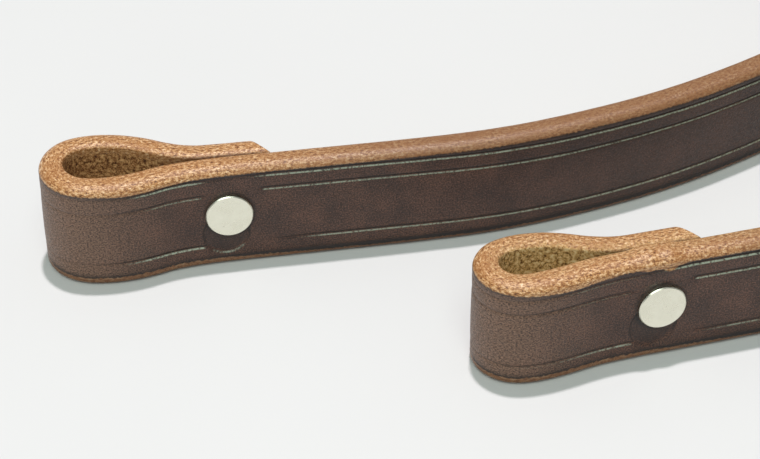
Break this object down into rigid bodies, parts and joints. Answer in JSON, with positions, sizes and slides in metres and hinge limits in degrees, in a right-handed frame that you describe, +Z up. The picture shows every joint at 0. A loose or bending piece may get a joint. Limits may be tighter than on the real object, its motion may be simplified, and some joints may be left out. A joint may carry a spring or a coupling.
{
  "type": "leather reins",
  "caption": "Plain leather split reins standing on edge, with folded bit loops closed by flat-headed Chicago screws, and the rest of both straps rolled up together.",
  "frame": {"origin": "on the surface that the reins stand on, under the axis of the left rein's screw", "axes": "+Z up; +X along the reins away from the bit; +Y from the right rein towards the left one"},
  "size_m": [0.3229, 0.324, 0.019],
  "materials": {
    "leather": "dark brown oiled harness leather with natural tan burnished edges",
    "nickel": "satin nickel plate"
  },
  "bodies": {
    "rolled_reins": {"left_rein_lead": "leather", "left_rein_roll": "leather", "right_rein_lead": "leather", "right_rein_roll": "leather"},
    "left_run": {"left_rein_run": "leather"},
    "left_bit_end": {"left_bit_loop": "leather"},
    "left_post": {"left_screw_post": "nickel"},
    "left_screw": {"left_screw": "nickel"},
    "right_run": {"right_rein_run": "leather"},
    "right_bit_end": {"right_bit_loop": "leather"},
    "right_post": {"right_screw_post": "nickel"},
    "right_screw": {"right_screw": "nickel"}
  },
  "joints": [
    {"name": "left_rein_swing", "type": "hinge", "parent": "rolled_reins", "child": "left_run", "pos_m": [0.15567, 0.06157, 0.0095], "axis": [0, 0, -1], "range_deg": [-2, 15]},
    {"name": "left_bit_end_flex", "type": "hinge", "parent": "left_run", "child": "left_bit_end", "pos_m": [0.01121, -0.00026, 0.0095], "axis": [0, 0, -1], "range_deg": [-25, 35], "stiffness_Nm_per_rad": 0.02},
    {"name": "left_post_turn", "type": "hinge", "parent": "left_bit_end", "child": "left_post", "pos_m": [0, 0, 0.0103], "axis": [-0.1736, 0.9848, 0], "range_deg": [0, 2160]},
    {"name": "left_screw_out", "type": "slide", "parent": "left_bit_end", "child": "left_screw", "axis": [-0.1736, 0.9848, 0], "range_m": [0, 0.0048]},
    {"name": "right_rein_swing", "type": "hinge", "parent": "rolled_reins", "child": "right_run", "pos_m": [0.18702, 0.02491, 0.0095], "axis": [0, 0, 1], "range_deg": [-3, 20]},
    {"name": "right_bit_end_flex", "type": "hinge", "parent": "right_run", "child": "right_bit_end", "pos_m": [0.08069, -0.02388, 0.0095], "axis": [0, 0, 1], "range_deg": [-12, 35], "stiffness_Nm_per_rad": 0.02},
    {"name": "right_post_turn", "type": "hinge", "parent": "right_bit_end", "child": "right_post", "pos_m": [0.0695, -0.0247, 0.0103], "axis": [-0.2672, 0.9636, 0], "range_deg": [0, 2160]},
    {"name": "right_screw_out", "type": "slide", "parent": "right_bit_end", "child": "right_screw", "axis": [-0.2672, 0.9636, 0], "range_m": [0, 0.0048]}
  ],
  "couplings": [
    {"joint": "left_post_turn", "follows": "left_screw_out", "rad_per_m": 7854},
    {"joint": "right_post_turn", "follows": "right_screw_out", "rad_per_m": 7854}
  ]
}
